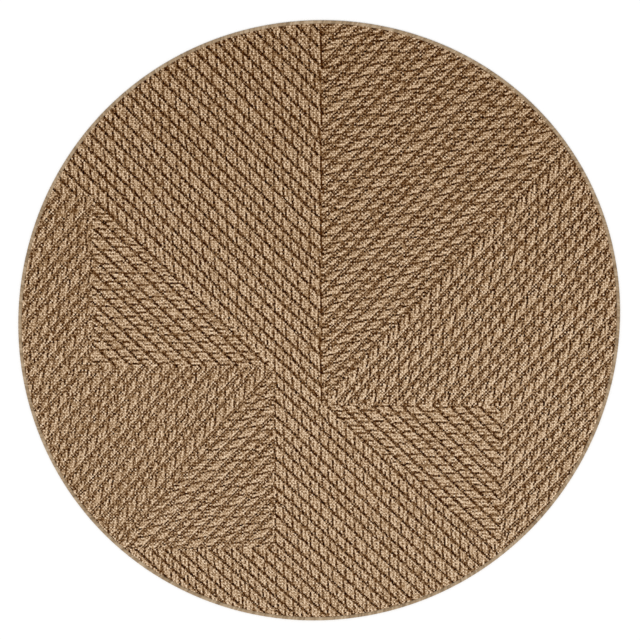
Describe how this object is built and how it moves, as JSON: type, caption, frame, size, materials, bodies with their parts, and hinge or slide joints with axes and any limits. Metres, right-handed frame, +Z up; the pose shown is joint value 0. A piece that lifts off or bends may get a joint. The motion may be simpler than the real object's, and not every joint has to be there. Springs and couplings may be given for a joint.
{
  "type": "round outdoor rug",
  "caption": "Round flat-woven outdoor rug with diagonal ribs in straight mitred fields and a narrow bound edge, lying flat.",
  "frame": {"origin": "middle of the rug's underside, on the surface that it lies on", "axes": "+Z up out of the woven face, +Y to the head of the weave, +X to the right as seen from above"},
  "size_m": [1.6003, 1.5962, 0.0056],
  "materials": {
    "woven_face": "flat-woven polypropylene yarn, tan with dark brown diagonal lines, matt",
    "binding": "tan overcast edge yarn, matt"
  },
  "bodies": {
    "root": {"woven_panel": "woven_face", "edge_binding": "binding"}
  },
  "joints": []
}
